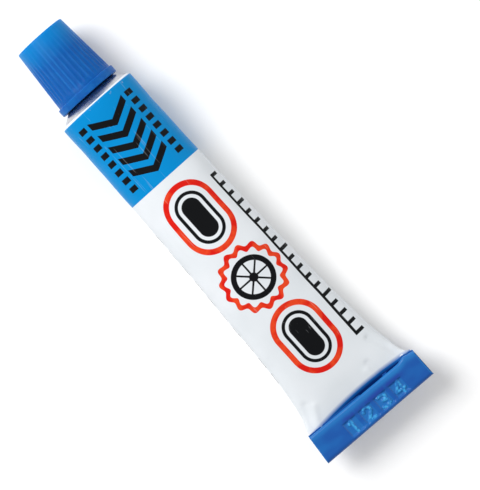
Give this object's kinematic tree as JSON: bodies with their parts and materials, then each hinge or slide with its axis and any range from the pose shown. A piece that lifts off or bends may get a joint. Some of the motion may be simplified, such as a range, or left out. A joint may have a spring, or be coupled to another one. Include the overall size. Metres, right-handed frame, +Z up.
{
  "type": "rubber cement tube",
  "caption": "Small collapsible aluminium tube of rubber cement, lying on its belly, with a folded flat tail, a conical shoulder, a threaded neck and a fluted screw cap that unscrews.",
  "frame": {"origin": "on the surface that the tube lies on, below the middle of the length and width of its box", "axes": "+X along the tube from the folded tail to the cap, +Z up, +Y across the flat tail"},
  "size_m": [0.0816, 0.0222, 0.0135],
  "materials": {
    "enamelled_aluminium": "gloss white enamel with a blue band and a blue tail; the shoulder and neck are bare",
    "bare_aluminium": "bare drawn aluminium, bright",
    "rubber_cement": "thick honey-coloured liquid",
    "latex": "dried cream latex",
    "cap_plastic": "moulded blue polyethylene, satin, fine flutes",
    "liner_foam": "soft white foam disc"
  },
  "bodies": {
    "tube": {"tube_shell": "enamelled_aluminium", "nozzle_seal": "bare_aluminium", "cement_fill": "rubber_cement", "tail_sealant": "latex"},
    "liner": {"cap_liner": "liner_foam"},
    "cap": {"screw_cap": "cap_plastic"}
  },
  "joints": [
    {"name": "cap_lift", "type": "slide", "parent": "tube", "child": "liner", "axis": [1, 0, 0], "range_m": [0, 0.0075]},
    {"name": "cap_turn", "type": "hinge", "parent": "liner", "child": "cap", "pos_m": [0.034, 0, 0.00675], "axis": [1, 0, 0], "range_deg": [0, 2160]}
  ],
  "couplings": [
    {"joint": "cap_turn", "follows": "cap_lift", "rad_per_m": 5026.5}
  ]
}
